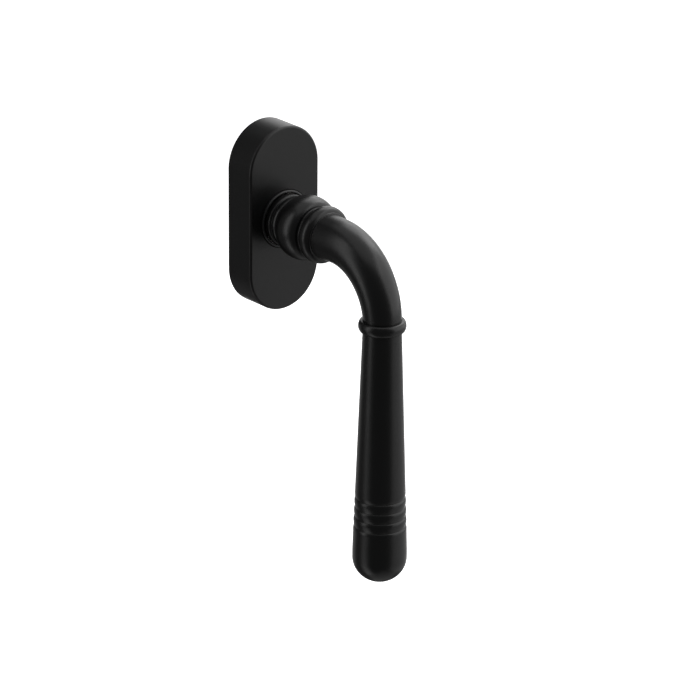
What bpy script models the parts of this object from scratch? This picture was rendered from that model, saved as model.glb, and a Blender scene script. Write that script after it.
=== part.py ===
"""Tilt turn window handle: oval rosette, square drive with detent, bent lever and turned grip.

World frame: the sash face is the plane Y = 0, the room is towards -Y, +Z is up.
The origin is on the turning axis, which runs along Y.
Most pieces are drawn in the stack frame: x across, y up the sash, z outwards from the sash.
"""
import math

import bmesh
import bpy
from mathutils import Matrix, Vector

MM = 0.001

# Driving dimensions: rosette
COVER_WIDTH = 30.0 * MM
COVER_LENGTH = 66.0 * MM
COVER_DEPTH = 12.0 * MM
COVER_WALL = 1.5 * MM
COVER_FACE = 1.4 * MM
COVER_EDGE_ROUND = 0.8 * MM
COVER_HOLE_R = 10.3 * MM
COLLAR_R = 10.0 * MM
COLLAR_FLANGE_R = 11.8 * MM
SCREW_SPACING = 43.0 * MM
PLATE_THICKNESS = 4.0 * MM
PLATE_R = 13.1 * MM

# Driving dimensions: lever, measured outwards from the sash or down from the turning axis
NECK_R = 8.3 * MM
BEAD_RISE = 1.7 * MM
BELL_RISE = 2.95 * MM
GRIP_AXIS = 63.2 * MM
ELBOW_RADIUS = 22.7 * MM
ELBOW_ROOT_R = 7.72 * MM
ELBOW_END_R = 6.57 * MM
ELBOW_END = 23.8 * MM
GRIP_TOP = 25.7 * MM
GRIP_TOP_R = 6.66 * MM
GRIP_TAPER_END = 105.3 * MM
GRIP_END_R = 9.4 * MM
DOME_START = 108.1 * MM
DOME_HEIGHT = 9.0 * MM
GROOVE_START = 85.9 * MM
GROOVE_PITCH = 3.5 * MM
GROOVE_COUNT = 4
GROOVE_DEPTH = 0.32 * MM
GROOVE_LEAD = 1.6 * MM
LIP_RISE = 0.06 * MM
LIP_PLACE = 0.35
FERRULE_MIDDLE = 23.45 * MM
FERRULE_HALF_WIDTH = 1.95 * MM
FERRULE_RISE = 1.06 * MM

# Driving dimensions: turning parts and hardware
SPIGOT_R = 8.0 * MM
TAIL_R = 6.5 * MM
SPIGOT_FLAT = 6.6 * MM
SPINDLE_SIDE = 7.0 * MM
SOCKET_DEPTH = 22.3 * MM
CAM_FLAT = 8.6 * MM
CAM_CORNER_R = 10.6 * MM
CASE_R = 12.9 * MM
CASE_CAVITY_R = 11.0 * MM
CASE_PEG_PLACE = 11.95 * MM
CASE_PEG_R = 0.8 * MM
CASE_BORE_R = 9.5 * MM
CLIP_WIDTH = 5.0 * MM
CLIP_BOSS_PLACE = 28.2 * MM
CLIP_BOSS_R = 0.9 * MM
LEAF_THICKNESS = 0.4 * MM
LEAF_HALF_LENGTH = 7.2 * MM
SLEEVE_SEAT_R = 5.3 * MM
SLEEVE_SEAT_DEPTH = 1.0 * MM
SCREW_HOLE_R = 2.9 * MM
SCREW_SINK_R = 5.1 * MM
STUD_R = 3.0 * MM
STUD_TOP = 12.8 * MM
STUD_END = 45.3 * MM
GAP = 0.3 * MM

# Places outwards from the sash, in the order they stack up
PLATE_WEB = 2.9 * MM
CASE_BACK = PLATE_THICKNESS + GAP
CAM_BACK = 4.6 * MM
CAM_FRONT = 7.0 * MM
CASE_CEILING = 7.3 * MM
CASE_FRONT = 8.6 * MM
COLLAR_FRONT = 12.7 * MM
NECK_BACK = 13.0 * MM
NECK_FRONT = 35.4 * MM
ELBOW_START = GRIP_AXIS - ELBOW_RADIUS

# Facets round a full circle
FINE_STEPS = 40
SMALL_STEPS = 28
OVERSHOOT = 1.0 * MM

STACK_TURN = (math.pi / 2, 0.0, 0.0)


def clear_scene():
    for scene_object in list(bpy.data.objects):
        bpy.data.objects.remove(scene_object, do_unlink=True)


def new_collection(name):
    collection = bpy.data.collections.new(name)
    bpy.context.scene.collection.children.link(collection)
    return collection


def new_material(name, colour, roughness, metallic):
    material = bpy.data.materials.new(name)
    material.use_nodes = True
    shader = material.node_tree.nodes["Principled BSDF"]
    shader.inputs["Base Color"].default_value = (*colour, 1.0)
    shader.inputs["Roughness"].default_value = roughness
    shader.inputs["Metallic"].default_value = metallic
    return material


clear_scene()
PARTS = new_collection("tilt_turn_handle")
CUTTERS = new_collection("cutters")
BLACK_COAT = new_material("black_powder_coat", (0.012, 0.012, 0.013), 0.42, 0.0)
BLACK_NYLON = new_material("black_nylon", (0.02, 0.02, 0.021), 0.5, 0.0)
WHITE_NYLON = new_material("natural_nylon", (0.72, 0.7, 0.64), 0.45, 0.0)
ZINC_CAST = new_material("zinc_casting", (0.5, 0.51, 0.52), 0.45, 1.0)
PLATED_STEEL = new_material("plated_steel", (0.62, 0.62, 0.6), 0.3, 1.0)
SPRING_STEEL = new_material("spring_steel", (0.36, 0.36, 0.38), 0.28, 1.0)


def new_object(name, mesh, collection=PARTS):
    made = bpy.data.objects.new(name, mesh)
    collection.objects.link(made)
    return made


def finish_part(part, material, parent):
    part.data.materials.append(material)
    part.data.shade_smooth()
    part.data.set_sharp_from_angle(angle=math.radians(30))
    part.parent = parent
    return part


def as_cutter(part):
    for collection in list(part.users_collection):
        collection.objects.unlink(part)
    CUTTERS.objects.link(part)
    part.hide_render = True
    part.display_type = "WIRE"
    return part


def boolean(part, other, operation):
    modifier = part.modifiers.new(f"{operation.lower()} {other.name}", "BOOLEAN")
    modifier.operation = operation
    modifier.solver = "EXACT"
    modifier.object = as_cutter(other)


def cut(part, *cutters):
    for cutter in cutters:
        boolean(part, cutter, "DIFFERENCE")


def join(part, *additions):
    for addition in additions:
        boolean(part, addition, "UNION")


def turned(name, profile, closed=False, steps=FINE_STEPS):
    """Turn a (radius, height) profile, listed down its outer side, round the local Z axis."""
    mesh = bpy.data.meshes.new(name)
    points = [(radius, 0.0, height) for radius, height in profile]
    edges = [(i, i + 1) for i in range(len(points) - 1)]
    if closed:
        edges.append((len(points) - 1, 0))
    mesh.from_pydata(points, edges, [])
    part = new_object(name, mesh)
    screw = part.modifiers.new("turn", "SCREW")
    screw.axis = "Z"
    screw.steps = steps
    screw.render_steps = steps
    screw.use_merge_vertices = True
    screw.merge_threshold = 0.01 * MM
    part.rotation_euler = STACK_TURN
    return part


def ring(name, outer, inner, low, high, steps=FINE_STEPS):
    profile = [(outer, high), (outer, low), (inner, low), (inner, high)]
    return turned(name, profile, closed=True, steps=steps)


def disc(name, radius, low, high, steps=FINE_STEPS):
    return turned(name, [(0.0, high), (radius, high), (radius, low), (0.0, low)], steps=steps)


def mesh_from(source):
    """Swap a curve object for a welded mesh object of the same name and place."""
    graph = bpy.context.evaluated_depsgraph_get()
    mesh = bpy.data.meshes.new_from_object(source.evaluated_get(graph))
    shape = bmesh.new()
    shape.from_mesh(mesh)
    bmesh.ops.remove_doubles(shape, verts=shape.verts, dist=0.001 * MM)
    shape.to_mesh(mesh)
    shape.free()
    name = source.name
    place = source.matrix_world.copy()
    bpy.data.objects.remove(source, do_unlink=True)
    part = new_object(name, mesh)
    part.matrix_world = place
    return part


def plate(name, outline, low, high):
    """Extrude a flat outline of (x, y) points from low to high in the stack frame."""
    curve = bpy.data.curves.new(name, "CURVE")
    curve.dimensions = "2D"
    curve.fill_mode = "BOTH"
    curve.extrude = (high - low) / 2
    spline = curve.splines.new("POLY")
    spline.points.add(len(outline) - 1)
    for point, (x, y) in zip(spline.points, outline):
        point.co = (x, y, 0.0, 1.0)
    spline.use_cyclic_u = True
    flat = new_object(name, curve)
    part = mesh_from(flat)
    part.data.transform(Matrix.Translation((0.0, 0.0, (high + low) / 2)))
    part.rotation_euler = STACK_TURN
    return part


def stadium(radius, half_straight, steps=FINE_STEPS):
    """Oval outline: two half circles joined by straight sides along y."""
    outline = []
    for i in range(steps // 2 + 1):
        angle = 2 * math.pi * i / steps
        outline.append((radius * math.cos(angle), half_straight + radius * math.sin(angle)))
    return outline + [(-x, -y) for x, y in outline]


def flatted(radius, flat, steps=FINE_STEPS):
    """Circle of a given radius cut off by four flats, the section of a square drive."""
    corner = math.acos(flat / radius)
    outline = []
    for quarter in range(4):
        start = quarter * math.pi / 2 + corner
        sweep = math.pi / 2 - 2 * corner
        count = max(2, round(steps * sweep / (2 * math.pi)))
        for i in range(count + 1):
            angle = start + sweep * i / count
            outline.append((radius * math.cos(angle), radius * math.sin(angle)))
    return outline


def box(name, centre, size):
    """Box in the stack frame."""
    shape = bmesh.new()
    bmesh.ops.create_cube(shape, size=1.0)
    bmesh.ops.scale(shape, vec=Vector(size), verts=shape.verts)
    bmesh.ops.translate(shape, vec=Vector(centre), verts=shape.verts)
    mesh = bpy.data.meshes.new(name)
    shape.to_mesh(mesh)
    shape.free()
    part = new_object(name, mesh)
    part.rotation_euler = STACK_TURN
    return part


def strip(name, path, across, width, thickness):
    """Bent sheet strip: a path of stack-frame points swept across its width, then thickened."""
    shape = bmesh.new()
    half = Vector(across) * width / 2
    line = [shape.verts.new(Vector(point) - half) for point in path]
    edges = [shape.edges.new(pair) for pair in zip(line, line[1:])]
    swept = bmesh.ops.extrude_edge_only(shape, edges=edges)
    moved = [item for item in swept["geom"] if isinstance(item, bmesh.types.BMVert)]
    bmesh.ops.translate(shape, vec=2 * half, verts=moved)
    bmesh.ops.recalc_face_normals(shape, faces=shape.faces)
    mesh = bpy.data.meshes.new(name)
    shape.to_mesh(mesh)
    shape.free()
    part = new_object(name, mesh)
    part.rotation_euler = STACK_TURN
    sheet = part.modifiers.new("thickness", "SOLIDIFY")
    sheet.thickness = thickness
    sheet.offset = 0.0
    sheet.use_even_offset = True
    return part


def swell(middle, half_width, base, rise, count):
    """Points down a rounded ring whose section is half an ellipse."""
    points = []
    for i in range(count + 1):
        angle = math.pi * i / count
        points.append((base + rise * math.sin(angle), middle + half_width * math.cos(angle)))
    return points


def round_front_edge(part, top, width):
    """Bevel only the outline of the front face."""
    shape = bmesh.new()
    shape.from_mesh(part.data)
    weight = shape.edges.layers.float.new("bevel_weight_edge")
    for edge in shape.edges:
        at_front = all(vertex.co.z > top - 0.01 * MM for vertex in edge.verts)
        if at_front and edge.is_manifold and edge.calc_face_angle() > 1.0:
            edge[weight] = 1.0
    shape.to_mesh(part.data)
    shape.free()
    bevel = part.modifiers.new("front edge", "BEVEL")
    bevel.limit_method = "WEIGHT"
    bevel.width = width
    bevel.segments = 3


# Rosette cover and its collar


def make_cover(parent):
    outer_r = COVER_WIDTH / 2
    straight = COVER_LENGTH / 2 - outer_r
    cover = plate("cover_cap", stadium(outer_r, straight), 0.0, COVER_DEPTH)
    round_front_edge(cover, COVER_DEPTH, COVER_EDGE_ROUND)
    inside = stadium(outer_r - COVER_WALL, straight)
    cavity = plate("cover cavity", inside, -OVERSHOOT, COVER_DEPTH - COVER_FACE)
    hole = disc("cover hole", COVER_HOLE_R, COVER_DEPTH / 2, COVER_DEPTH + OVERSHOOT)
    cut(cover, cavity, hole)
    finish_part(cover, BLACK_COAT, parent)


def make_collar(parent):
    front = COLLAR_FRONT
    flange_top = COVER_DEPTH - COVER_FACE - GAP
    flange_back = flange_top - 0.5 * MM
    outer = COLLAR_R
    inner = outer - 0.6 * MM
    edge = 0.12 * MM
    profile = [
        (outer - edge, front),
        (outer, front - edge),
        (outer, flange_top),
        (COLLAR_FLANGE_R, flange_top),
        (COLLAR_FLANGE_R, flange_back),
        (inner, flange_back),
        (inner, front - edge),
        (inner + edge, front),
    ]
    collar = turned("cover_collar", profile, closed=True)
    finish_part(collar, BLACK_NYLON, parent)


# Base plate and what is fixed to it


def screw_opening(side):
    """Countersink, through hole and locating sleeve seat for one fixing screw."""
    top = PLATE_THICKNESS + OVERSHOOT
    sink_depth = SCREW_SINK_R - SCREW_HOLE_R
    profile = [
        (0.0, top),
        (SCREW_SINK_R + OVERSHOOT, top),
        (SCREW_HOLE_R, PLATE_THICKNESS - sink_depth),
        (SCREW_HOLE_R, SLEEVE_SEAT_DEPTH),
        (SLEEVE_SEAT_R, SLEEVE_SEAT_DEPTH),
        (SLEEVE_SEAT_R, -OVERSHOOT),
        (0.0, -OVERSHOOT),
    ]
    opening = turned("screw opening", profile, steps=SMALL_STEPS)
    opening.location.z = side * SCREW_SPACING / 2
    return opening


def make_base_plate(parent):
    straight = COVER_LENGTH / 2 - COVER_WIDTH / 2
    base = plate("base_plate", stadium(PLATE_R, straight), 0.0, PLATE_THICKNESS)
    recess_r = 9.6 * MM
    notch_place = straight + PLATE_R
    notch_size = (CLIP_WIDTH + 2 * GAP, 2.0 * MM, 3 * PLATE_THICKNESS)
    boss_front = PLATE_THICKNESS + 1.0 * MM
    few_steps = SMALL_STEPS // 2
    centre_profile = [
        (0.0, PLATE_THICKNESS + OVERSHOOT),
        (TAIL_R + GAP, PLATE_THICKNESS + OVERSHOOT),
        (TAIL_R + GAP, PLATE_WEB),
        (recess_r, PLATE_WEB),
        (recess_r, -OVERSHOOT),
        (0.0, -OVERSHOOT),
    ]
    cut(base, turned("centre opening", centre_profile))
    for side in (1, -1):
        notch = box("clip notch", (0.0, side * notch_place, PLATE_THICKNESS / 2), notch_size)
        peg_hole = disc("peg hole", CASE_PEG_R + GAP, -OVERSHOOT, 2 * PLATE_THICKNESS, few_steps)
        peg_hole.location.z = side * CASE_PEG_PLACE
        boss = disc("clip boss", CLIP_BOSS_R, PLATE_THICKNESS / 2, boss_front, few_steps)
        boss.location.z = side * CLIP_BOSS_PLACE
        cut(base, screw_opening(side), peg_hole, notch)
        join(base, boss)
    finish_part(base, ZINC_CAST, parent)


def make_detent_case(parent):
    case = disc("detent_case", CASE_R, CASE_BACK, CASE_FRONT)
    cavity = disc("case cavity", CASE_CAVITY_R, CASE_BACK - OVERSHOOT, CASE_CEILING)
    bore = disc("case bore", CASE_BORE_R, CASE_BACK, CASE_FRONT + OVERSHOOT)
    slot_low = CASE_BACK - OVERSHOOT
    slot_high = CASE_CEILING + 0.05 * MM
    slot_width = 2 * (CAM_FLAT + 2 * GAP + LEAF_THICKNESS)
    slot_length = 2 * (LEAF_HALF_LENGTH + GAP)
    slot_centre = (0.0, 0.0, (slot_low + slot_high) / 2)
    slots = box("leaf slots", slot_centre, (slot_width, slot_length, slot_high - slot_low))
    cut(case, cavity, bore, slots)
    peg_back = 0.5 * MM
    peg_front = CASE_BACK + 0.7 * MM
    for side in (1, -1):
        peg = disc("case peg", CASE_PEG_R, peg_back, peg_front, SMALL_STEPS // 2)
        peg.location.z = side * CASE_PEG_PLACE
        join(case, peg)
    finish_part(case, BLACK_NYLON, parent)


def make_bush(parent):
    flange_back = CASE_FRONT + GAP
    flange_front = flange_back + 0.5 * MM
    flange_r = 10.9 * MM
    tube_back = CAM_FRONT + 0.5 * MM
    tube_r = CASE_BORE_R - GAP
    inner_r = SPIGOT_R + 0.25 * MM
    profile = [
        (flange_r, flange_front),
        (flange_r, flange_back),
        (tube_r, flange_back),
        (tube_r, tube_back),
        (inner_r, tube_back),
        (inner_r, flange_front),
    ]
    bush = turned("bearing_bush", profile, closed=True)
    finish_part(bush, WHITE_NYLON, parent)


def make_leaf_spring(name, side, parent):
    middle = (CAM_BACK + CAM_FRONT) / 2
    x = side * (CAM_FLAT + GAP + LEAF_THICKNESS / 2)
    path = [(x, -LEAF_HALF_LENGTH, middle), (x, 0.0, middle), (x, LEAF_HALF_LENGTH, middle)]
    leaf = strip(name, path, (0.0, 0.0, 1.0), CAM_FRONT - CAM_BACK, LEAF_THICKNESS)
    finish_part(leaf, SPRING_STEEL, parent)


def make_cover_clip(name, side, parent):
    thickness = 0.4 * MM
    foot = PLATE_THICKNESS + GAP + thickness / 2
    bend = 0.35 * MM
    foot_end = CLIP_BOSS_PLACE - 1.8 * MM
    leg = 30.55 * MM
    bulge = 30.8 * MM
    bulge_depth = 2.7 * MM
    leg_end = 0.9 * MM
    path = [
        (0.0, side * foot_end, foot),
        (0.0, side * (leg - bend), foot),
        (0.0, side * leg, foot - bend),
        (0.0, side * bulge, bulge_depth),
        (0.0, side * leg, leg_end),
    ]
    clip = strip(name, path, (1.0, 0.0, 0.0), CLIP_WIDTH, thickness)
    hole_front = PLATE_THICKNESS + 2.0 * MM
    boss_hole = disc("clip hole", CLIP_BOSS_R + GAP, PLATE_THICKNESS, hole_front, SMALL_STEPS // 2)
    boss_hole.location.z = side * CLIP_BOSS_PLACE
    cut(clip, boss_hole)
    finish_part(clip, SPRING_STEEL, parent)


# Turning parts: lever casting, grip, detent cam and retaining hardware


def neck_profile():
    """Down the outside of the neck: bead, bell, two small rings, spigot and tail."""
    bell_base = NECK_R + 0.3 * MM
    ring_base = NECK_R + 0.2 * MM
    behind_r = NECK_R + 0.1 * MM
    bead = swell(32.7 * MM, 2.4 * MM, NECK_R, BEAD_RISE, 10)
    bell = swell(23.5 * MM, 5.2 * MM, bell_base, NECK_R + BELL_RISE - bell_base, 16)
    small_ring = swell(16.4 * MM, 1.15 * MM, ring_base, 0.5 * MM, 6)
    step_r = 9.15 * MM
    step_front = 14.95 * MM
    step_edge = 0.15 * MM
    groove_r = TAIL_R - 0.5 * MM
    groove_front = 1.9 * MM
    groove_back = 0.7 * MM
    front = [(0.0, NECK_FRONT), (NECK_R, NECK_FRONT)]
    between = [(NECK_R, 29.0 * MM)]
    behind_bell = [(behind_r, 18.1 * MM), (behind_r, 17.7 * MM)]
    step = [
        (ring_base, step_front),
        (step_r - step_edge, step_front),
        (step_r, step_front - step_edge),
        (step_r, NECK_BACK),
        (SPIGOT_R, NECK_BACK),
        (SPIGOT_R, CASE_CEILING),
    ]
    tail = [
        (TAIL_R, CASE_CEILING),
        (TAIL_R, groove_front),
        (groove_r, groove_front),
        (groove_r, groove_back),
        (TAIL_R, groove_back),
        (TAIL_R, GAP),
        (0.0, GAP),
    ]
    return front + bead + between + bell + behind_bell + small_ring + step + tail


def elbow_tube():
    """Round arm that thins along a short straight run, a quarter bend and a short straight end."""
    start = NECK_FRONT - 2.4 * MM
    start_r = 7.9 * MM
    bends = 18
    route = [(start, 0.0, start_r)]
    for i in range(bends + 1):
        angle = math.pi / 2 * i / bends
        outwards = ELBOW_START + ELBOW_RADIUS * math.sin(angle)
        down = ELBOW_RADIUS * (1 - math.cos(angle))
        radius = ELBOW_ROOT_R + (ELBOW_END_R - ELBOW_ROOT_R) * i / bends
        route.append((outwards, down, radius))
    route.append((GRIP_AXIS, ELBOW_END, ELBOW_END_R))
    curve = bpy.data.curves.new("elbow tube", "CURVE")
    curve.dimensions = "3D"
    curve.bevel_depth = start_r
    curve.bevel_resolution = FINE_STEPS // 2 - 2
    curve.use_fill_caps = True
    spline = curve.splines.new("POLY")
    spline.points.add(len(route) - 1)
    for point, (outwards, down, radius) in zip(spline.points, route):
        point.co = (0.0, -outwards, -down, 1.0)
        point.radius = radius / start_r
    return mesh_from(new_object("elbow tube", curve))


def upright(part):
    """Stand a turned piece on the grip's axis instead of the turning axis."""
    part.rotation_euler = (0.0, 0.0, 0.0)
    part.location.y = -GRIP_AXIS
    return part


def make_lever_casting(parent):
    lever = turned("lever_casting", neck_profile())
    square_r = SPIGOT_R - 0.1 * MM
    square_back = CAM_BACK - 0.4 * MM
    square_front = CASE_CEILING + 0.7 * MM
    square = plate("spigot square", flatted(square_r, SPIGOT_FLAT), square_back, square_front)
    join(lever, elbow_tube(), square)
    socket_side = SPINDLE_SIDE + 2 * GAP
    socket_centre = (0.0, 0.0, (SOCKET_DEPTH - OVERSHOOT) / 2)
    socket_size = (socket_side, socket_side, SOCKET_DEPTH + OVERSHOOT)
    stud_hole = upright(disc("stud hole", STUD_R + GAP, -25.0 * MM, -STUD_TOP + GAP, SMALL_STEPS))
    socket = box("spindle socket", socket_centre, socket_size)
    cut(lever, socket, stud_hole)
    finish_part(lever, BLACK_COAT, parent)


def taper_radius(down):
    share = (down - GRIP_TOP) / (GRIP_TAPER_END - GRIP_TOP)
    return GRIP_TOP_R + (GRIP_END_R - GRIP_TOP_R) * share


def groove_lift(share):
    """Rise above the taper between two grooves: a steep shoulder, a lip and a gentle fall."""
    total = GROOVE_DEPTH + LIP_RISE
    if share < LIP_PLACE:
        return total * math.sqrt(1 - (1 - share / LIP_PLACE) ** 2) - GROOVE_DEPTH
    return LIP_RISE - total * ((share - LIP_PLACE) / (1 - LIP_PLACE)) ** 2


def grip_profile():
    """Tenon, shoulder, long taper, grooves, plain end and dome, from top to bottom."""
    tenon_r = 6.3 * MM
    tenon_top = ELBOW_END + GAP
    shoulder_edge = 0.35 * MM
    profile = [(0.0, -tenon_top), (tenon_r, -tenon_top), (tenon_r, -GRIP_TOP)]
    profile.append((GRIP_TOP_R - shoulder_edge / 3, -GRIP_TOP))
    for down in (GRIP_TOP + shoulder_edge, GROOVE_START - GROOVE_LEAD):
        profile.append((taper_radius(down), -down))
    middle = GROOVE_START - GROOVE_LEAD / 2
    profile.append((taper_radius(middle) - GROOVE_DEPTH / 4, -middle))
    shoulder_shares = (0.0, 0.03, 0.11, 0.2, LIP_PLACE)
    fall_shares = (0.6, 0.82)
    for groove in range(GROOVE_COUNT):
        last = groove == GROOVE_COUNT - 1
        for share in shoulder_shares if last else shoulder_shares + fall_shares:
            down = GROOVE_START + GROOVE_PITCH * (groove + share)
            profile.append((taper_radius(down) + groove_lift(share), -down))
    plain_start = GROOVE_START + GROOVE_PITCH * GROOVE_COUNT
    profile.append((taper_radius(plain_start), -plain_start))
    profile.append((GRIP_END_R, -GRIP_TAPER_END))
    dome_points = 10
    for i in range(dome_points + 1):
        angle = math.pi / 2 * i / dome_points
        profile.append((GRIP_END_R * math.cos(angle), -DOME_START - DOME_HEIGHT * math.sin(angle)))
    profile[-1] = (0.0, -DOME_START - DOME_HEIGHT)
    return profile


def make_grip(parent):
    grip = upright(turned("grip", grip_profile()))
    hole_end = STUD_END + 0.7 * MM
    hole = disc("grip hole", STUD_R + GAP, -hole_end, -ELBOW_END + OVERSHOOT, SMALL_STEPS)
    cut(grip, upright(hole))
    finish_part(grip, BLACK_COAT, parent)


def make_ferrule(parent):
    inner = ELBOW_END_R + 0.33 * MM
    bulge = swell(-FERRULE_MIDDLE, FERRULE_HALF_WIDTH, inner + 0.2 * MM, FERRULE_RISE, 10)
    low = bulge[-1][1]
    high = bulge[0][1]
    ferrule = upright(turned("ferrule_ring", bulge + [(inner, low), (inner, high)], closed=True))
    finish_part(ferrule, BLACK_COAT, parent)


def make_grip_stud(parent):
    stud = upright(disc("grip_stud", STUD_R, -STUD_END, -STUD_TOP, SMALL_STEPS))
    finish_part(stud, PLATED_STEEL, parent)


def make_detent_cam(parent):
    cam = plate("detent_cam", flatted(CAM_CORNER_R, CAM_FLAT), CAM_BACK, CAM_FRONT)
    drive = flatted(SPIGOT_R + GAP, SPIGOT_FLAT + GAP)
    cut(cam, plate("cam drive", drive, CAM_BACK - OVERSHOOT, CAM_FRONT + OVERSHOOT))
    finish_part(cam, PLATED_STEEL, parent)


def make_washer(parent):
    front = PLATE_WEB - GAP
    outer = 9.2 * MM
    washer = ring("thrust_washer", outer, TAIL_R + GAP, front - 0.6 * MM, front)
    finish_part(washer, PLATED_STEEL, parent)


def make_circlip(parent):
    outer = 8.4 * MM
    inner = 6.25 * MM
    back = 1.0 * MM
    front = 1.6 * MM
    circlip = ring("circlip", outer, inner, back, front)
    gap_centre = (0.0, -outer + OVERSHOOT, (back + front) / 2)
    gap_size = (3.2 * MM, 5.0 * MM, front)
    cut(circlip, box("circlip gap", gap_centre, gap_size))
    finish_part(circlip, SPRING_STEEL, parent)


def axis_empty(name):
    empty = bpy.data.objects.new(name, None)
    PARTS.objects.link(empty)
    return empty


def main():
    base = axis_empty("base fixed to the sash")
    cover = axis_empty("cover slides along Y")
    handle = axis_empty("handle turns about Y")
    make_base_plate(base)
    make_detent_case(base)
    make_bush(base)
    for name, side in (("upper", 1), ("lower", -1)):
        make_cover_clip(f"cover_clip_{name}", side, base)
    for name, side in (("right", 1), ("left", -1)):
        make_leaf_spring(f"detent_leaf_{name}", side, base)
    make_cover(cover)
    make_collar(cover)
    make_lever_casting(handle)
    make_ferrule(handle)
    make_grip(handle)
    make_grip_stud(handle)
    make_detent_cam(handle)
    make_washer(handle)
    make_circlip(handle)


main()
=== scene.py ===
"""Looks of a tilt turn window handle: oval rosette, turned neck, bent lever and ribbed grip, all matt black.

World frame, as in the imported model: the sash face is the plane Y = 0, the room is towards -Y, +Z is up,
and the turning axis is the Y axis. "Depth" below is the distance from the sash face towards the room.
"""
import math

import bmesh
import bpy
import numpy as np
from mathutils import Matrix, Vector


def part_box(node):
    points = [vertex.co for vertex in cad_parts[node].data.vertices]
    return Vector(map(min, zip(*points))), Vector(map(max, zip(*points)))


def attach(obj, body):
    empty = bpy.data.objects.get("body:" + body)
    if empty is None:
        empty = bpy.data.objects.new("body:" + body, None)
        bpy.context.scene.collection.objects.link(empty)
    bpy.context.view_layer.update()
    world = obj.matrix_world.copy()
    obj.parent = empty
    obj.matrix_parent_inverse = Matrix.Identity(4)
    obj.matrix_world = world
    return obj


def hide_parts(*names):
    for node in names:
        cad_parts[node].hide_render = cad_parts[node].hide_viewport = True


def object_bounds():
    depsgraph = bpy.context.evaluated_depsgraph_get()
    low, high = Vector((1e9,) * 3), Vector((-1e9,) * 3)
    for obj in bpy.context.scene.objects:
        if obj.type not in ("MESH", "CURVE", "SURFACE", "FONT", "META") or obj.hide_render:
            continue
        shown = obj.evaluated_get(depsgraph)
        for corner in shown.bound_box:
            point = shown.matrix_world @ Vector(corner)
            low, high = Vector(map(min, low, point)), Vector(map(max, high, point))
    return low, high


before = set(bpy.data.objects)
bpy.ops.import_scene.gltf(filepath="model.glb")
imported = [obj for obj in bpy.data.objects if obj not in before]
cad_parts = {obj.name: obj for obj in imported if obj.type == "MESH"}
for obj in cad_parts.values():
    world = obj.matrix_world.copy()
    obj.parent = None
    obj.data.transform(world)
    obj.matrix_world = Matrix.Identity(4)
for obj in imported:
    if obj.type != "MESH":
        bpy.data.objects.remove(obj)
CAD_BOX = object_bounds()

MM = 0.001
FULL_TURN = 2 * math.pi
X_AXIS = Vector((1.0, 0.0, 0.0))
Y_AXIS = Vector((0.0, 1.0, 0.0))
Z_AXIS = Vector((0.0, 0.0, 1.0))

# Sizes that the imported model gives
COVER_LOW, COVER_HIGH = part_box("cover_cap")
COVER_R = COVER_HIGH.x
COVER_STRAIGHT = COVER_HIGH.z - COVER_R
COVER_DEPTH = -COVER_LOW.y
PLATE_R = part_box("base_plate")[1].x
GRIP_LOW, GRIP_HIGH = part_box("grip")
GRIP_AXIS = -(GRIP_LOW.y + GRIP_HIGH.y) / 2
GRIP_TIP = -GRIP_LOW.z
COLLAR_LOW, COLLAR_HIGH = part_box("cover_collar")
BUSH_LOW, BUSH_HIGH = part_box("bearing_bush")
WASHER_LOW, WASHER_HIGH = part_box("thrust_washer")
CIRCLIP_LOW, CIRCLIP_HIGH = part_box("circlip")
FERRULE_LOW, FERRULE_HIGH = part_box("ferrule_ring")

# Shape of the cover and its collar
COVER_WALL = 1.5 * MM
COVER_FACE = 1.4 * MM
COVER_EDGE_ROUND = 0.8 * MM
COVER_HOLE_R = 10.3 * MM
COLLAR_GAP = 0.1 * MM
COLLAR_INNER_R = 9.4 * MM
COLLAR_LIP = 0.5 * MM
COLLAR_FLANGE = 0.5 * MM

# Shape of the base plate and its bush
PLATE_DEPTH = 4.0 * MM
PLATE_RECESS_R = 9.6 * MM
PLATE_WEB = 2.9 * MM
PLATE_BORE_R = 6.8 * MM
PEG_HOLE_R = 1.1 * MM
PEG_HEIGHT = 11.95 * MM
NOTCH_HALF_WIDTH = 2.8 * MM
NOTCH_LOW = 30.1 * MM
NOTCH_HIGH = 32.1 * MM
BUSH_INNER_R = 8.25 * MM
BUSH_OUTER_R = 9.2 * MM
BUSH_FLANGE = 0.5 * MM

# Shape of the lever, from the sash towards the room: tail, spigot, neck and elbow
TAIL_R = 6.5 * MM
TAIL_END = 0.3 * MM
CLIP_GROOVE_R = 6.0 * MM
CLIP_GROOVE_BACK = 0.7 * MM
CLIP_GROOVE_FRONT = 1.9 * MM
SPIGOT_R = 8.0 * MM
SPIGOT_END = 7.3 * MM
STEP_R = 9.15 * MM
STEP_BACK = 13.0 * MM
STEP_FRONT = 14.95 * MM
STEP_ROUND = 0.65 * MM
RING_MIDDLE = 16.4 * MM
RING_HALF_WIDTH = 1.15 * MM
RING_FOOT_R = 8.5 * MM
RING_RISE = 0.5 * MM
THROAT_R = 8.4 * MM
THROAT_BACK = 17.7 * MM
THROAT_FRONT = 18.1 * MM
BELL_MIDDLE = 23.5 * MM
BELL_HALF_WIDTH = 5.2 * MM
BELL_FOOT_R = 8.6 * MM
BELL_RISE = 2.65 * MM
NECK_R = 8.3 * MM
NECK_BACK = 29.0 * MM
BEAD_MIDDLE = 32.7 * MM
BEAD_HALF_WIDTH = 2.4 * MM
BEAD_RISE = 1.7 * MM
NECK_FRONT = 35.4 * MM
TAPER_START = 33.0 * MM
TAPER_START_R = 7.9 * MM
ELBOW_RADIUS = 22.7 * MM
ELBOW_ROOT_R = 7.72 * MM
ELBOW_END_R = 6.57 * MM
ELBOW_END = 23.8 * MM
ELBOW_EDGE = 0.1 * MM
NECK_SOFTENING = 0.13 * MM

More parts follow.
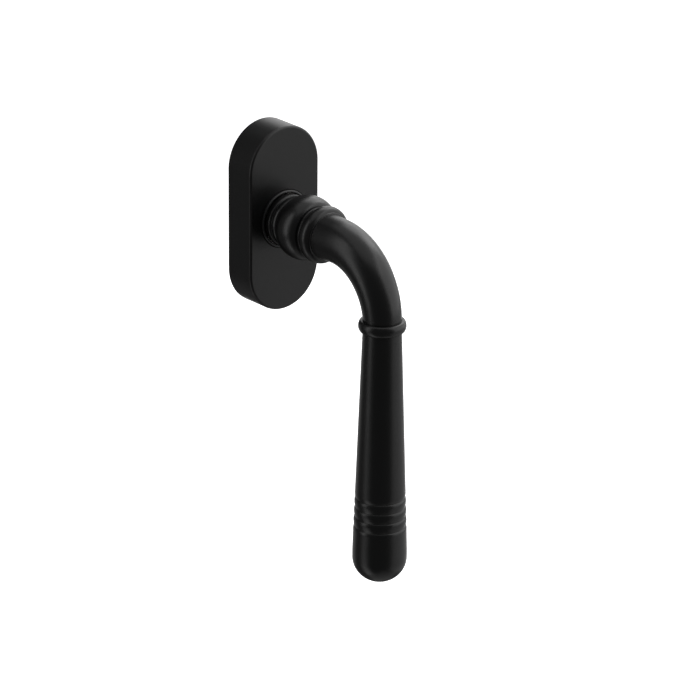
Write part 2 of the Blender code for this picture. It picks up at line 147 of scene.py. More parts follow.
# Shape of what goes on the lever
CLIP_INNER_R = 6.25 * MM
CLIP_HALF_GAP = 1.6 * MM
WASHER_CLEARANCE = 0.3 * MM
FERRULE_RISE = 1.06 * MM
FERRULE_BITE = 0.1 * MM

# Shape of the grip, whose heights are distances below the turning axis
GRIP_TOP = 25.7 * MM
GRIP_TOP_R = 6.66 * MM
GRIP_END_R = 9.4 * MM
GRIP_TAPER_END = 105.3 * MM
DOME_START = 108.1 * MM
GROOVE_START = 85.9 * MM
GROOVE_PITCH = 3.5 * MM
GROOVE_COUNT = 4
GROOVE_DEPTH = 0.32 * MM
GROOVE_LEAD = 1.6 * MM
LIP_RISE = 0.06 * MM
LIP_PLACE = 0.35
TENON_R = 6.3 * MM
TENON_TOP = 24.1 * MM
TENON_FOOT = 25.65 * MM
STUD_HOLE_R = 3.3 * MM
STUD_HOLE_TOP = 12.5 * MM
STUD_HOLE_SPLIT = 25.0 * MM
STUD_HOLE_END = 46.0 * MM
GRIP_SOFTENING = 0.05 * MM

# Shape of what the sash hardware goes into
SOCKET_SIDE = 7.6 * MM
SOCKET_DEPTH = 22.3 * MM
SCREW_HEIGHT = 21.5 * MM
SCREW_HOLE_R = 2.9 * MM
SCREW_SINK_R = 5.1 * MM
SLEEVE_SEAT_R = 5.3 * MM
SLEEVE_SEAT_DEPTH = 1.0 * MM

# Fineness of the meshes; a cutter goes CUT_OVERSHOOT past the face that it opens
ROUND_STEPS = 160
SMALL_STEPS = 72
RIM_STEPS = 8
COVER_EDGE_STEPS = 12
COVER_CORNER_STEPS = 4
OVAL_END_STEPS = 64
OVAL_SIDE_STEPS = 12
ELBOW_STEPS = 72
GROOVE_STEPS = 24
GROOVE_CROWDING = 1.6
DOME_STEPS = 40
FLAT_CENTRE_R = 5.0 * MM
FINE_SPACING = 0.03 * MM
WIDE_SPACING = 1.6 * MM
NECK_TURN = 0.05
GRIP_TURN = 0.06
CUT_OVERSHOOT = 1.0 * MM

# Studio
FLOOR_HEIGHT = CAD_BOX[0].z - 0.35
FLOOR_HALF = 6.0
SURROUND = 0.09
PANEL_DISTANCE = 1.2
# Name, azimuth and elevation in degrees, width and height in metres, radiance
PANELS = (
    ("right panel", 56.0, 22.0, 2.2, 1.7, 1.2),
    ("low right panel", 54.0, -35.0, 1.9, 0.8, 0.4),
    ("upper right panel", 112.0, 42.0, 0.9, 0.9, 1.7),
    ("left strip", -110.0, 16.0, 0.45, 1.7, 1.35),
    ("low left panel", -104.0, -48.0, 0.5, 0.9, 0.8),
    ("back left panel", 180.0, -5.0, 0.6, 1.6, 0.28),
    ("top panel", 60.0, 80.0, 1.8, 1.8, 0.55),
    ("low panel", 20.0, -80.0, 1.2, 1.2, 0.22),
    ("backdrop", 132.0, -4.0, 1.3, 1.5, 1.0),
)

# View of the photograph
CAMERA_AZIMUTH = -40.656
CAMERA_ELEVATION = 21.849
CAMERA_ROLL = 0.51
CAMERA_DISTANCE = 1391.56 * MM
CAMERA_TARGET = Vector((8.135, -37.270, -42.536)) * MM
CAMERA_LENS = 209.494
CAMERA_SENSOR = 36.0
CAMERA_NEAR = 0.01
CAMERA_FAR = 30.0


# Meshes


def placed(name, shape):
    """Object made of a bmesh, in the scene."""
    mesh = bpy.data.meshes.new(name)
    shape.to_mesh(mesh)
    shape.free()
    piece = bpy.data.objects.new(name, mesh)
    bpy.context.scene.collection.objects.link(piece)
    return piece


def loft(name, rings, closed=False):
    """Mesh through rings of equally many points; a ring of one point is a pole.

    A closed one has its last ring joined to its first.
    """
    shape = bmesh.new()
    rows = [[shape.verts.new(point) for point in ring] for ring in rings]
    pairs = list(zip(rows, rows[1:]))
    if closed:
        pairs.append((rows[-1], rows[0]))
    for low, high in pairs:
        count = max(len(low), len(high))
        for i in range(count):
            j = (i + 1) % count
            corners = [low[i % len(low)], low[j % len(low)], high[j % len(high)], high[i % len(high)]]
            shape.faces.new(list(dict.fromkeys(corners)))
    bmesh.ops.recalc_face_normals(shape, faces=shape.faces)
    return placed(name, shape)


def quarter_turn(steps):
    """Angles from 0 to 90 degrees."""
    return [FULL_TURN / 4 * i / steps for i in range(steps + 1)]


def circle(centre, across, upwards, radius, steps):
    """Ring of points, or one point where the radius is nothing."""
    if radius == 0.0:
        return [Vector(centre)]
    points = []
    for i in range(steps):
        angle = FULL_TURN * i / steps
        points.append(Vector(centre) + across * radius * math.cos(angle) + upwards * radius * math.sin(angle))
    return points


def turned(name, profile, height=0.0, closed=False, steps=ROUND_STEPS):
    """Turn a (radius, depth) profile round an axis along Y at the given height."""
    rings = [circle((0.0, -depth, height), X_AXIS, Z_AXIS, radius, steps) for radius, depth in profile]
    return loft(name, rings, closed)


def upright(name, profile, closed=False, steps=ROUND_STEPS):
    """Turn a (radius, distance below the turning axis) profile round the grip's axis."""
    rings = [circle((0.0, -GRIP_AXIS, -down), X_AXIS, Y_AXIS, radius, steps) for radius, down in profile]
    return loft(name, rings, closed)


def softened(points, rounding, turn):
    """Round a polyline's corners by averaging it along its length.

    Points are dropped where it stays straight: a kept one lies WIDE_SPACING past the last, or where the
    line has turned by more than turn, in radians.
    """
    line = np.array(points, float)
    lengths = np.hypot(*np.diff(line, axis=0).T)
    along = np.concatenate([[0.0], np.cumsum(lengths)])
    count = max(2, round(along[-1] / FINE_SPACING))
    places = np.linspace(0.0, along[-1], count + 1)
    dense = np.column_stack([np.interp(places, along, line[:, k]) for k in range(2)])
    reach = max(1, round(3 * rounding / FINE_SPACING))
    weights = np.exp(-0.5 * (np.arange(-reach, reach + 1) * FINE_SPACING / rounding) ** 2)
    weights /= weights.sum()
    padded = np.vstack([2 * dense[0] - dense[reach:0:-1], dense, 2 * dense[-1] - dense[-2 : -reach - 2 : -1]])
    smooth = np.column_stack([np.convolve(padded[:, k], weights, "valid") for k in range(2)])
    smooth[0], smooth[-1] = line[0], line[-1]
    steps = np.diff(smooth, axis=0)
    headings = np.unwrap(np.arctan2(steps[:, 1], steps[:, 0]))
    kept = [0]
    for i in range(1, len(smooth) - 1):
        turned_by = abs(headings[i] - headings[kept[-1]])
        gone = (i - kept[-1]) * FINE_SPACING
        if turned_by > turn or gone > WIDE_SPACING:
            kept.append(i)
    kept.append(len(smooth) - 1)
    return [tuple(smooth[i]) for i in kept]


def swell(middle, half_width, base, rise, count=40):
    """Points along a rounded ring whose section is half an ellipse."""
    points = []
    for i in range(count + 1):
        angle = math.pi * i / count
        points.append((base + rise * math.sin(angle), middle - half_width * math.cos(angle)))
    return points


def oval(radius, depth):
    """Ring round the turning axis with straight sides as long as the cover's and round ends."""
    upper = []
    for i in range(OVAL_END_STEPS + 1):
        angle = math.pi * i / OVAL_END_STEPS
        upper.append((radius * math.cos(angle), COVER_STRAIGHT + radius * math.sin(angle)))
    gap = 2 * COVER_STRAIGHT / OVAL_SIDE_STEPS
    side = [(-radius, COVER_STRAIGHT - gap * i) for i in range(1, OVAL_SIDE_STEPS)]
    half = upper + side
    outline = half + [(-x, -z) for x, z in half]
    return [Vector((x, -depth, z)) for x, z in outline]


def towards_circle(ring, radius, depth, share):
    """Ring part of the way from an oval one to a circle round the turning axis."""
    points = []
    for point in ring:
        flat = Vector((point.x, 0.0, point.z))
        target = flat.normalized() * radius
        mixed = flat.lerp(target, share)
        points.append(Vector((mixed.x, -depth, mixed.z)))
    return points


def block(name, low, high):
    """Box between two corners."""
    shape = bmesh.new()
    bmesh.ops.create_cube(shape, size=1.0)
    size = Vector(high) - Vector(low)
    bmesh.ops.scale(shape, vec=size, verts=shape.verts)
    bmesh.ops.translate(shape, vec=(Vector(high) + Vector(low)) / 2, verts=shape.verts)
    return placed(name, shape)


def cut(piece, cutters):
    """Take the cutters out of a piece's mesh, and out of the scene."""
    for cutter in cutters:
        modifier = piece.modifiers.new("cut", "BOOLEAN")
        modifier.operation = "DIFFERENCE"
        modifier.solver = "EXACT"
        modifier.object = cutter
    graph = bpy.context.evaluated_depsgraph_get()
    mesh = bpy.data.meshes.new_from_object(piece.evaluated_get(graph))
    piece.modifiers.clear()
    piece.data = mesh
    for cutter in cutters:
        bpy.data.objects.remove(cutter, do_unlink=True)


def bevelled(piece, width, angle=40.0):
    """Break the edges that are sharper than the angle, in degrees."""
    bevel = piece.modifiers.new("edges", "BEVEL")
    bevel.limit_method = "ANGLE"
    bevel.angle_limit = math.radians(angle)
    bevel.width = width
    bevel.segments = 2


def finish_piece(piece, material, body, node, sharp=35.0):
    """Shade a piece, put it on its body and let it stand for a CAD node."""
    piece.data.materials.clear()
    piece.data.materials.append(material)
    piece.data.shade_smooth()
    piece.data.set_sharp_from_angle(angle=math.radians(sharp))
    normals = piece.modifiers.new("normals", "WEIGHTED_NORMAL")
    normals.keep_sharp = True
    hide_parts(node)
    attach(piece, body)


# Materials


class Finish:
    """A Principled material with helpers for its procedural detail."""

    def __init__(self, name, colour, roughness, metallic, specular=0.5):
        self.material = bpy.data.materials.new(name)
        self.material.use_nodes = True
        self.nodes = self.material.node_tree.nodes
        self.links = self.material.node_tree.links
        self.shader = self.nodes["Principled BSDF"]
        self.shader.inputs["Base Color"].default_value = (*colour, 1.0)
        self.shader.inputs["Roughness"].default_value = roughness
        self.shader.inputs["Metallic"].default_value = metallic
        self.shader.inputs["Specular IOR Level"].default_value = specular
        self.place = self.nodes.new("ShaderNodeTexCoord").outputs["Object"]
        self.normal = None
        self.colour = None

    def noise(self, size, detail=2.0, stretch=(1.0, 1.0, 1.0)):
        """Noise whose lumps are about size across, in metres."""
        mapping = self.nodes.new("ShaderNodeMapping")
        mapping.inputs["Scale"].default_value = [s / size for s in stretch]
        self.links.new(self.place, mapping.inputs["Vector"])
        texture = self.nodes.new("ShaderNodeTexNoise")
        texture.inputs["Scale"].default_value = 1.0
        texture.inputs["Detail"].default_value = detail
        self.links.new(mapping.outputs["Vector"], texture.inputs["Vector"])
        return texture.outputs["Fac"]

    def spread(self, factor, low, high, start=0.3, end=0.7):
        ramp = self.nodes.new("ShaderNodeMapRange")
        ramp.inputs["From Min"].default_value = start
        ramp.inputs["From Max"].default_value = end
        ramp.inputs["To Min"].default_value = low
        ramp.inputs["To Max"].default_value = high
        self.links.new(factor, ramp.inputs["Value"])
        return ramp.outputs["Result"]

    def tint(self, factor, dark, light):
        ramp = self.nodes.new("ShaderNodeValToRGB")
        ramp.color_ramp.elements[0].position = 0.3
        ramp.color_ramp.elements[0].color = (*dark, 1.0)
        ramp.color_ramp.elements[1].position = 0.7
        ramp.color_ramp.elements[1].color = (*light, 1.0)
        self.links.new(factor, ramp.inputs["Fac"])
        self.colour = ramp.outputs["Color"]
        self.links.new(self.colour, self.shader.inputs["Base Color"])

    def edge_wear_and_highlight(self, reach, colour, most):
        """Blend the tint towards a paler colour in patches along the edges, as far in as reach: partly edge
        wear, partly a painted highlight on the rims.
        """
        bevel = self.nodes.new("ShaderNodeBevel")
        bevel.samples = 6
        bevel.inputs["Radius"].default_value = reach
        facing = self.nodes.new("ShaderNodeVectorMath")
        facing.operation = "DOT_PRODUCT"
        self.links.new(bevel.outputs["Normal"], facing.inputs[0])
        self.links.new(self.nodes.new("ShaderNodeNewGeometry").outputs["Normal"], facing.inputs[1])
        amount = self.nodes.new("ShaderNodeMath")
        amount.operation = "MULTIPLY"
        self.links.new(self.spread(facing.outputs["Value"], most, 0.0, start=0.8, end=0.98), amount.inputs[0])
        self.links.new(self.spread(self.noise(1.3 * MM), 0.35, 1.0), amount.inputs[1])
        blend = self.nodes.new("ShaderNodeMixRGB")
        blend.inputs["Color2"].default_value = (*colour, 1.0)
        self.links.new(amount.outputs["Value"], blend.inputs["Fac"])
        self.links.new(self.colour, blend.inputs["Color1"])
        self.links.new(blend.outputs["Color"], self.shader.inputs["Base Color"])

    def rough(self, factor, low, high):
        self.links.new(self.spread(factor, low, high), self.shader.inputs["Roughness"])

    def bump(self, factor, distance):
        bump = self.nodes.new("ShaderNodeBump")
        bump.inputs["Distance"].default_value = distance
        bump.inputs["Strength"].default_value = 1.0
        self.links.new(factor, bump.inputs["Height"])
        if self.normal is not None:
            self.links.new(self.normal, bump.inputs["Normal"])
        self.normal = bump.outputs["Normal"]
        self.links.new(self.normal, self.shader.inputs["Normal"])


def powder_coat():
    coat = Finish("black_powder_coat", (0.005, 0.005, 0.0052), 0.3, 0.0)
    grain = coat.noise(0.35 * MM, detail=3.0)
    peel = coat.noise(1.6 * MM, detail=1.0)
    cloud = coat.noise(14.0 * MM)
    coat.tint(cloud, (0.0044, 0.0044, 0.0046), (0.0058, 0.0058, 0.006))
    # Paler edge patches: partly edge wear, partly a painted highlight along the rims
    coat.edge_wear_and_highlight(0.4 * MM, (0.02, 0.02, 0.0205), 0.6)
    coat.rough(grain, 0.28, 0.35)
    coat.bump(peel, 0.012 * MM)
    coat.bump(grain, 0.006 * MM)
    return coat.material


def moulded(name, dark, light, roughness):
    nylon = Finish(name, dark, roughness, 0.0)
    grain = nylon.noise(0.18 * MM)
    flow = nylon.noise(6.0 * MM)
    nylon.tint(flow, dark, light)
    # Paler edge patches: partly edge wear, partly a painted highlight along the rims
    nylon.edge_wear_and_highlight(0.25 * MM, [1.3 * part for part in light], 0.6)
    nylon.rough(grain, roughness - 0.05, roughness + 0.07)
    nylon.bump(grain, 0.004 * MM)
    return nylon.material


def die_casting():
    zinc = Finish("zinc_casting", (0.48, 0.49, 0.5), 0.45, 1.0)
    skin = zinc.noise(0.5 * MM, detail=4.0)
    flow = zinc.noise(7.0 * MM, detail=3.0)
    zinc.tint(flow, (0.36, 0.37, 0.38), (0.55, 0.56, 0.57))
    # Paler edge patches: partly edge wear, partly a painted highlight along the edges
    zinc.edge_wear_and_highlight(0.3 * MM, (0.72, 0.73, 0.74), 0.7)
    zinc.rough(flow, 0.36, 0.55)
    zinc.bump(skin, 0.015 * MM)
    return zinc.material


def plated():
    steel = Finish("plated_steel", (0.62, 0.62, 0.6), 0.3, 1.0)
    drawn = steel.noise(0.22 * MM, detail=3.0, stretch=(1.0, 0.05, 1.0))
    haze = steel.noise(4.0 * MM)
    steel.tint(haze, (0.5, 0.51, 0.5), (0.68, 0.68, 0.65))
    # Paler edge patches: partly edge wear, partly a painted highlight along the edges
    steel.edge_wear_and_highlight(0.2 * MM, (0.82, 0.82, 0.8), 0.6)
    steel.rough(haze, 0.22, 0.38)
    steel.bump(drawn, 0.004 * MM)
    return steel.material


def sprung():
    steel = Finish("spring_steel", (0.3, 0.3, 0.32), 0.28, 1.0)
    rolled = steel.noise(0.3 * MM, detail=3.0, stretch=(1.0, 1.0, 0.08))
    oil = steel.noise(5.0 * MM)
    steel.tint(oil, (0.2, 0.2, 0.215), (0.36, 0.36, 0.37))
    # Paler edge patches: partly edge wear, partly a painted highlight along the edges
    steel.edge_wear_and_highlight(0.15 * MM, (0.55, 0.55, 0.56), 0.6)
    steel.rough(oil, 0.2, 0.36)
    steel.bump(rolled, 0.003 * MM)
    return steel.material


COAT = powder_coat()
BLACK_NYLON = moulded("black_nylon", (0.014, 0.014, 0.015), (0.024, 0.024, 0.025), 0.36)
WHITE_NYLON = moulded("natural_nylon", (0.68, 0.66, 0.6), (0.76, 0.74, 0.68), 0.45)
ZINC = die_casting()
PLATED = plated()
SPRING = sprung()


# Rosette


def make_cover():
    foot = 0.12 * MM
    hole_edge = 0.15 * MM
    inner_corner = 0.4 * MM
    ceiling = COVER_DEPTH - COVER_FACE
    side = COVER_DEPTH - COVER_EDGE_ROUND - foot
    wall_r = COVER_R - COVER_WALL
    face_ring = oval(COVER_R - COVER_EDGE_ROUND, COVER_DEPTH)
    ceiling_ring = oval(wall_r - inner_corner, ceiling)
    rings = [towards_circle(face_ring, COVER_HOLE_R, COVER_DEPTH - hole_edge, 1.0)]
    for share in (1.0, 0.97, 0.7, 0.4):
        rings.append(towards_circle(face_ring, COVER_HOLE_R + hole_edge, COVER_DEPTH, share))
    for angle in quarter_turn(COVER_EDGE_STEPS):
        inset = COVER_EDGE_ROUND * (1 - math.sin(angle))
        back = COVER_EDGE_ROUND * (1 - math.cos(angle))
        rings.append(oval(COVER_R - inset, COVER_DEPTH - back))
    for share in (0.9, 0.5, 0.1, 0.0):
        rings.append(oval(COVER_R, foot + side * share))
    rings.append(oval(COVER_R - foot, 0.0))
    rings.append(oval(wall_r + foot, 0.0))
    rings.append(oval(wall_r, foot))
    rings.append(oval(wall_r, ceiling / 2))
    for angle in quarter_turn(COVER_CORNER_STEPS):
        radius = wall_r - inner_corner * (1 - math.cos(angle))
        rings.append(oval(radius, ceiling - inner_corner * (1 - math.sin(angle))))
    for share in (0.5, 0.95):
        rings.append(towards_circle(ceiling_ring, COVER_HOLE_R + hole_edge, ceiling, share))
    rings.append(towards_circle(ceiling_ring, COVER_HOLE_R, ceiling, 1.0))
    cover = loft("rosette_cover", rings, closed=True)
    finish_piece(cover, COAT, "cover", "cover_cap")


def make_collar():
    outer = COVER_HOLE_R - COLLAR_GAP
    inner = COLLAR_INNER_R
    flange_r = COLLAR_HIGH.x
    front = -COLLAR_LOW.y
    back = -COLLAR_HIGH.y
    flange_top = back + COLLAR_FLANGE
    edge = 0.15 * MM
    corner_in = 0.05 * MM
    corner_back = 0.03 * MM
    profile = [(inner, back + edge), (inner, front - edge)]
    profile += [(inner + corner_in, front - corner_back), (inner + edge, front)]
    for angle in quarter_turn(RIM_STEPS):
        radius = outer - COLLAR_LIP * (1 - math.sin(angle))
        profile.append((radius, front - COLLAR_LIP * (1 - math.cos(angle))))
    profile += [(outer, flange_top), (flange_r - edge, flange_top), (flange_r, flange_top - edge)]
    profile += [(flange_r, back), (inner + edge, back)]
    collar = turned("rosette_collar", profile, closed=True)
    finish_piece(collar, BLACK_NYLON, "cover", "cover_collar")


def make_base_plate():
    edge = 0.18 * MM
    rings = [[Vector((0.0, -PLATE_DEPTH, 0.0))]]
    rim = oval(PLATE_R - edge, PLATE_DEPTH)
    rings.append(towards_circle(rim, FLAT_CENTRE_R, PLATE_DEPTH, 1.0))
    rings.append(rim)
    rings.append(oval(PLATE_R, PLATE_DEPTH - edge))
    rings.append(oval(PLATE_R, edge))
    back_rim = oval(PLATE_R - edge, 0.0)
    rings.append(back_rim)
    rings.append(towards_circle(back_rim, FLAT_CENTRE_R, 0.0, 1.0))
    rings.append([Vector((0.0, 0.0, 0.0))])
    base = loft("base_casting", rings)
    sink_depth = SCREW_SINK_R - SCREW_HOLE_R
    behind = -CUT_OVERSHOOT
    in_front = PLATE_DEPTH + CUT_OVERSHOOT
    centre_profile = [(0.0, behind), (PLATE_RECESS_R, behind), (PLATE_RECESS_R, PLATE_WEB)]
    centre_profile += [(PLATE_BORE_R, PLATE_WEB), (PLATE_BORE_R, in_front), (0.0, in_front)]
    cutters = [turned("centre", centre_profile, steps=ROUND_STEPS // 2)]
    for side in (1, -1):
        height = side * SCREW_HEIGHT
        screw_profile = [(0.0, behind), (SLEEVE_SEAT_R, behind), (SLEEVE_SEAT_R, SLEEVE_SEAT_DEPTH)]
        screw_profile += [(SCREW_HOLE_R, SLEEVE_SEAT_DEPTH), (SCREW_HOLE_R, PLATE_DEPTH - sink_depth)]
        screw_profile += [(SCREW_SINK_R + CUT_OVERSHOOT, in_front), (0.0, in_front)]
        cutters.append(turned("screw way", screw_profile, height, steps=SMALL_STEPS))
        peg_profile = [(0.0, behind), (PEG_HOLE_R, behind)]
        peg_profile += [(PEG_HOLE_R, 2 * PLATE_DEPTH), (0.0, 2 * PLATE_DEPTH)]
        cutters.append(turned("peg way", peg_profile, side * PEG_HEIGHT, steps=SMALL_STEPS // 2))
        low, high = sorted((side * NOTCH_LOW, side * NOTCH_HIGH))
        notch_low = (-NOTCH_HALF_WIDTH, -2 * PLATE_DEPTH, low)
        cutters.append(block("notch", notch_low, (NOTCH_HALF_WIDTH, CUT_OVERSHOOT, high)))
    cut(base, cutters)
    bevelled(base, 0.1 * MM, angle=50.0)
    finish_piece(base, ZINC, "base", "base_plate", sharp=50.0)


def make_bush():
    inner, outer = BUSH_INNER_R, BUSH_OUTER_R
    flange_r = BUSH_HIGH.x
    front = -BUSH_LOW.y
    back = -BUSH_HIGH.y
    edge = 0.1 * MM
    flange_back = front - BUSH_FLANGE
    profile = [(inner, back), (inner, front - edge), (inner + edge, front), (flange_r - edge, front)]
    profile += [(flange_r, front - edge), (flange_r, flange_back), (outer, flange_back), (outer, back)]
    bush = turned("spigot_bush", profile, closed=True)
    finish_piece(bush, WHITE_NYLON, "base", "bearing_bush")


# Lever and grip


def neck_profile():
    """(radius, depth) from the back of the tail to the front of the neck, in a hidden and a visible part."""
    edge = 0.25 * MM
    tail = [(TAIL_R - edge, TAIL_END), (TAIL_R, TAIL_END + edge), (TAIL_R, CLIP_GROOVE_BACK)]
    tail += [(CLIP_GROOVE_R, CLIP_GROOVE_BACK), (CLIP_GROOVE_R, CLIP_GROOVE_FRONT)]
    tail += [(TAIL_R, CLIP_GROOVE_FRONT), (TAIL_R, SPIGOT_END)]
    spigot = [(SPIGOT_R, SPIGOT_END), (SPIGOT_R, STEP_BACK)]
    step = [(STEP_R, STEP_BACK)]
    for angle in quarter_turn(RIM_STEPS):
        radius = STEP_R - STEP_ROUND * (1 - math.cos(angle))
        step.append((radius, STEP_FRONT - STEP_ROUND * (1 - math.sin(angle))))
    small_ring = swell(RING_MIDDLE, RING_HALF_WIDTH, RING_FOOT_R, RING_RISE)
    throat = [(THROAT_R, THROAT_BACK), (THROAT_R, THROAT_FRONT)]
    bell = swell(BELL_MIDDLE, BELL_HALF_WIDTH, BELL_FOOT_R, BELL_RISE)
    bead = swell(BEAD_MIDDLE, BEAD_HALF_WIDTH, NECK_R, BEAD_RISE)
    front = [(NECK_R, NECK_BACK)] + bead + [(NECK_R, NECK_FRONT)]
    return tail + spigot, step + small_ring + throat + bell + front


def elbow_ring(along, radius):
    """Ring across the lever, a given way along its middle line, which bends down from the turning axis."""
    straight_end = GRIP_AXIS - ELBOW_RADIUS
    if along <= straight_end:
        return circle((0.0, -along, 0.0), X_AXIS, Z_AXIS, radius, ROUND_STEPS)
    angle = (along - straight_end) / ELBOW_RADIUS
    past = max(0.0, angle - math.pi / 2) * ELBOW_RADIUS
    angle = min(angle, math.pi / 2)
    outwards = straight_end + ELBOW_RADIUS * math.sin(angle)
    down = ELBOW_RADIUS * (1 - math.cos(angle)) + past
    upwards = Vector((0.0, -math.sin(angle), math.cos(angle)))
    return circle((0.0, -outwards, -down), X_AXIS, upwards, radius, ROUND_STEPS)


def make_lever():
    hidden, shown = neck_profile()
    bend_start = GRIP_AXIS - ELBOW_RADIUS
    bend_length = ELBOW_RADIUS * math.pi / 2
    taper = (TAPER_START_R - ELBOW_ROOT_R) * (bend_start - NECK_FRONT) / (bend_start - TAPER_START)
    root_r = ELBOW_ROOT_R + taper
    shown = softened(shown + [(root_r, NECK_FRONT), (ELBOW_ROOT_R, bend_start)], NECK_SOFTENING, NECK_TURN)
    rings = [[Vector((0.0, -TAIL_END, 0.0))]]
    rings += [elbow_ring(depth, radius) for radius, depth in hidden]
    rings += [elbow_ring(depth, radius) for radius, depth in shown]
    for i in range(1, ELBOW_STEPS + 1):
        radius = ELBOW_ROOT_R + (ELBOW_END_R - ELBOW_ROOT_R) * i / ELBOW_STEPS
        rings.append(elbow_ring(bend_start + bend_length * i / ELBOW_STEPS, radius))
    end = bend_start + bend_length + ELBOW_END - ELBOW_RADIUS
    rings.append(elbow_ring(end - ELBOW_EDGE, ELBOW_END_R))
    rings.append(elbow_ring(end, ELBOW_END_R - ELBOW_EDGE))
    rings.append([Vector((0.0, -GRIP_AXIS, -ELBOW_END))])
    lever = loft("lever", rings)
    half = SOCKET_SIDE / 2
    socket = block("socket", (-half, -SOCKET_DEPTH, -half), (half, CUT_OVERSHOOT, half))
    stud_profile = [(0.0, STUD_HOLE_TOP), (STUD_HOLE_R, STUD_HOLE_TOP)]
    stud_profile += [(STUD_HOLE_R, STUD_HOLE_SPLIT), (0.0, STUD_HOLE_SPLIT)]
    stud_way = upright("stud way", stud_profile, steps=SMALL_STEPS)
    cut(lever, [socket, stud_way])
    finish_piece(lever, COAT, "handle", "lever_casting")


def taper_radius(down):
    share = (down - GRIP_TOP) / (GRIP_TAPER_END - GRIP_TOP)
    return GRIP_TOP_R + (GRIP_END_R - GRIP_TOP_R) * share


def groove_lift(share):
    """Rise above the taper between two grooves: a steep shoulder, a lip and a gentle fall."""
    total = GROOVE_DEPTH + LIP_RISE
    if share < LIP_PLACE:
        return total * math.sqrt(1 - (1 - share / LIP_PLACE) ** 2) - GROOVE_DEPTH
    return LIP_RISE - total * ((share - LIP_PLACE) / (1 - LIP_PLACE)) ** 2


def make_grip():
    profile = [(GRIP_TOP_R, GRIP_TOP)]
    for i in range(GROOVE_STEPS + 1):
        share = i / GROOVE_STEPS
        down = GROOVE_START - GROOVE_LEAD * (1 - share)
        profile.append((taper_radius(down) - GROOVE_DEPTH * share**2, down))
    for groove in range(GROOVE_COUNT):
        last = groove == GROOVE_COUNT - 1
        for i in range(GROOVE_STEPS):
            share = (i / GROOVE_STEPS) ** GROOVE_CROWDING
            if last and share > LIP_PLACE:
                break
            down = GROOVE_START + GROOVE_PITCH * (groove + share)
            profile.append((taper_radius(down) + groove_lift(share), down))
    plain_start = GROOVE_START + GROOVE_PITCH * GROOVE_COUNT
    profile.append((taper_radius(plain_start), plain_start))
    profile.append((GRIP_END_R, GRIP_TAPER_END))
    dome = GRIP_TIP - DOME_START
    for angle in quarter_turn(DOME_STEPS):
        profile.append((GRIP_END_R * math.cos(angle), DOME_START + dome * math.sin(angle)))
    profile[-1] = (0.0, GRIP_TIP)
    outside = softened(profile, GRIP_SOFTENING, GRIP_TURN)
    inside = [(0.0, STUD_HOLE_END), (STUD_HOLE_R, STUD_HOLE_END), (STUD_HOLE_R, TENON_TOP)]
    inside += [(TENON_R, TENON_TOP), (TENON_R, TENON_FOOT)]
    grip = upright("turned_grip", inside + outside)
    finish_piece(grip, COAT, "handle", "grip")


def make_ferrule():
    inner = ELBOW_END_R - FERRULE_BITE
    middle = -(FERRULE_LOW.z + FERRULE_HIGH.z) / 2
    half_width = (FERRULE_HIGH.z - FERRULE_LOW.z) / 2
    profile = swell(middle, half_width, FERRULE_HIGH.x - FERRULE_RISE, FERRULE_RISE, 48)
    profile += [(inner, middle + half_width), (inner, middle - half_width)]
    ferrule = upright("ferrule", profile, closed=True)
    finish_piece(ferrule, COAT, "handle", "ferrule_ring", sharp=50.0)


def make_washer():
    inner = TAIL_R + WASHER_CLEARANCE
    outer = WASHER_HIGH.x
    front, back = -WASHER_LOW.y, -WASHER_HIGH.y
    edge = 0.08 * MM
    profile = [(inner, back + edge), (inner, front), (outer - edge, front), (outer, front - edge)]
    profile += [(outer, back + edge), (outer - edge, back), (inner + edge, back)]
    washer = turned("washer", profile, closed=True)
    finish_piece(washer, PLATED, "handle", "thrust_washer")


def make_circlip():
    """Retaining ring, open at the bottom."""
    inner = CLIP_INNER_R
    outer = CIRCLIP_HIGH.x
    front, back = -CIRCLIP_LOW.y, -CIRCLIP_HIGH.y
    profile = [(inner, back), (inner, front), (outer, front), (outer, back)]
    ring = turned("retaining_ring", profile, closed=True)
    reach = 5.0 * MM
    gap_low = (-CLIP_HALF_GAP, -reach, -outer - CUT_OVERSHOOT)
    cut(ring, [block("gap", gap_low, (CLIP_HALF_GAP, reach, -reach))])
    bevelled(ring, 0.06 * MM)
    finish_piece(ring, SPRING, "handle", "circlip")


def dress_node(node, material):
    """Give a CAD node that stays its finish."""
    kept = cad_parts[node]
    kept.data.materials.clear()
    kept.data.materials.append(material)


# Studio


def make_floor():
    """Pale sheet well below the handle."""
    shape = bmesh.new()
    bmesh.ops.create_grid(shape, x_segments=1, y_segments=1, size=FLOOR_HALF)
    floor = placed("floor", shape)
    floor.location = (0.0, 0.0, FLOOR_HEIGHT)
    paper = Finish("pale_floor", (0.9, 0.9, 0.9), 0.9, 0.0, specular=0.0)
    paper.shader.inputs["Emission Color"].default_value = (1.0, 1.0, 1.0, 1.0)
    paper.shader.inputs["Emission Strength"].default_value = 1.0
    floor.data.materials.append(paper.material)
    floor.visible_glossy = False
    floor.visible_diffuse = False


def outwards(azimuth, elevation):
    """Direction from the handle; azimuth 0 is the room, straight in front of the sash, and 90 is +X."""
    a, e = math.radians(azimuth), math.radians(elevation)
    return Vector((math.sin(a) * math.cos(e), -math.cos(a) * math.cos(e), math.sin(e)))


def soft_panel(name, azimuth, elevation, width, height, radiance):
    """Evenly bright panel that faces the handle and that the camera doesn't see."""
    light = bpy.data.lights.new(name, "AREA")
    light.shape = "RECTANGLE"
    light.size = width
    light.size_y = height
    light.energy = radiance * math.pi * width * height
    lamp = bpy.data.objects.new(name, light)
    lamp.location = outwards(azimuth, elevation) * PANEL_DISTANCE
    lamp.rotation_euler = lamp.location.to_track_quat("Z", "Y").to_euler()
    lamp.visible_camera = False
    bpy.context.scene.collection.objects.link(lamp)


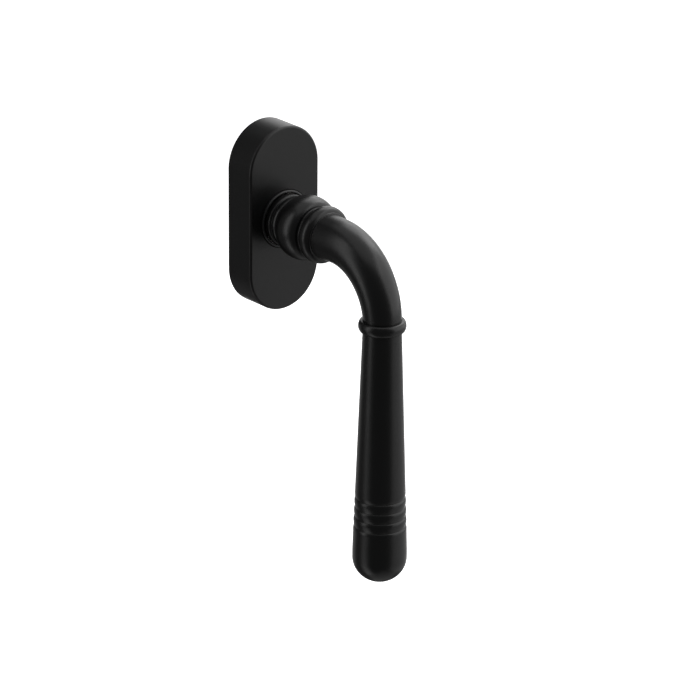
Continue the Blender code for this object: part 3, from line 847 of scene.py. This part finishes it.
def make_world():
    """Dim surroundings, which the camera sees as a pale backdrop."""
    world = bpy.data.worlds.new("studio")
    world.use_nodes = True
    nodes, links = world.node_tree.nodes, world.node_tree.links
    dim = nodes["Background"]
    dim.inputs["Color"].default_value = (1.0, 1.0, 1.0, 1.0)
    dim.inputs["Strength"].default_value = SURROUND
    pale = nodes.new("ShaderNodeBackground")
    pale.inputs["Color"].default_value = (1.0, 1.0, 1.0, 1.0)
    pale.inputs["Strength"].default_value = 1.0
    path = nodes.new("ShaderNodeLightPath")
    mix = nodes.new("ShaderNodeMixShader")
    links.new(path.outputs["Is Camera Ray"], mix.inputs["Fac"])
    links.new(dim.outputs["Background"], mix.inputs[1])
    links.new(pale.outputs["Background"], mix.inputs[2])
    links.new(mix.outputs["Shader"], nodes["World Output"].inputs["Surface"])
    bpy.context.scene.world = world
    bpy.context.scene.view_settings.view_transform = "Standard"


def make_camera():
    camera = bpy.data.cameras.new("camera")
    camera.lens = CAMERA_LENS
    camera.sensor_width = CAMERA_SENSOR
    camera.clip_start = CAMERA_NEAR
    camera.clip_end = CAMERA_FAR
    view = bpy.data.objects.new("camera", camera)
    back = outwards(CAMERA_AZIMUTH, CAMERA_ELEVATION)
    level = Z_AXIS.cross(back).normalized()
    upright_axis = back.cross(level)
    turn = Matrix.Rotation(math.radians(CAMERA_ROLL), 3, back)
    axes = Matrix((turn @ level, turn @ upright_axis, back)).transposed()
    view.matrix_world = Matrix.Translation(CAMERA_TARGET + back * CAMERA_DISTANCE) @ axes.to_4x4()
    bpy.context.scene.collection.objects.link(view)
    bpy.context.scene.camera = view


make_camera()
make_world()
make_floor()
for panel in PANELS:
    soft_panel(*panel)
make_cover()
make_collar()
make_base_plate()
make_bush()
make_lever()
make_ferrule()
make_grip()
make_washer()
make_circlip()
dress_node("detent_case", BLACK_NYLON)
dress_node("detent_cam", PLATED)
dress_node("grip_stud", PLATED)
for node in ("detent_leaf_left", "detent_leaf_right", "cover_clip_upper", "cover_clip_lower"):
    dress_node(node, SPRING)
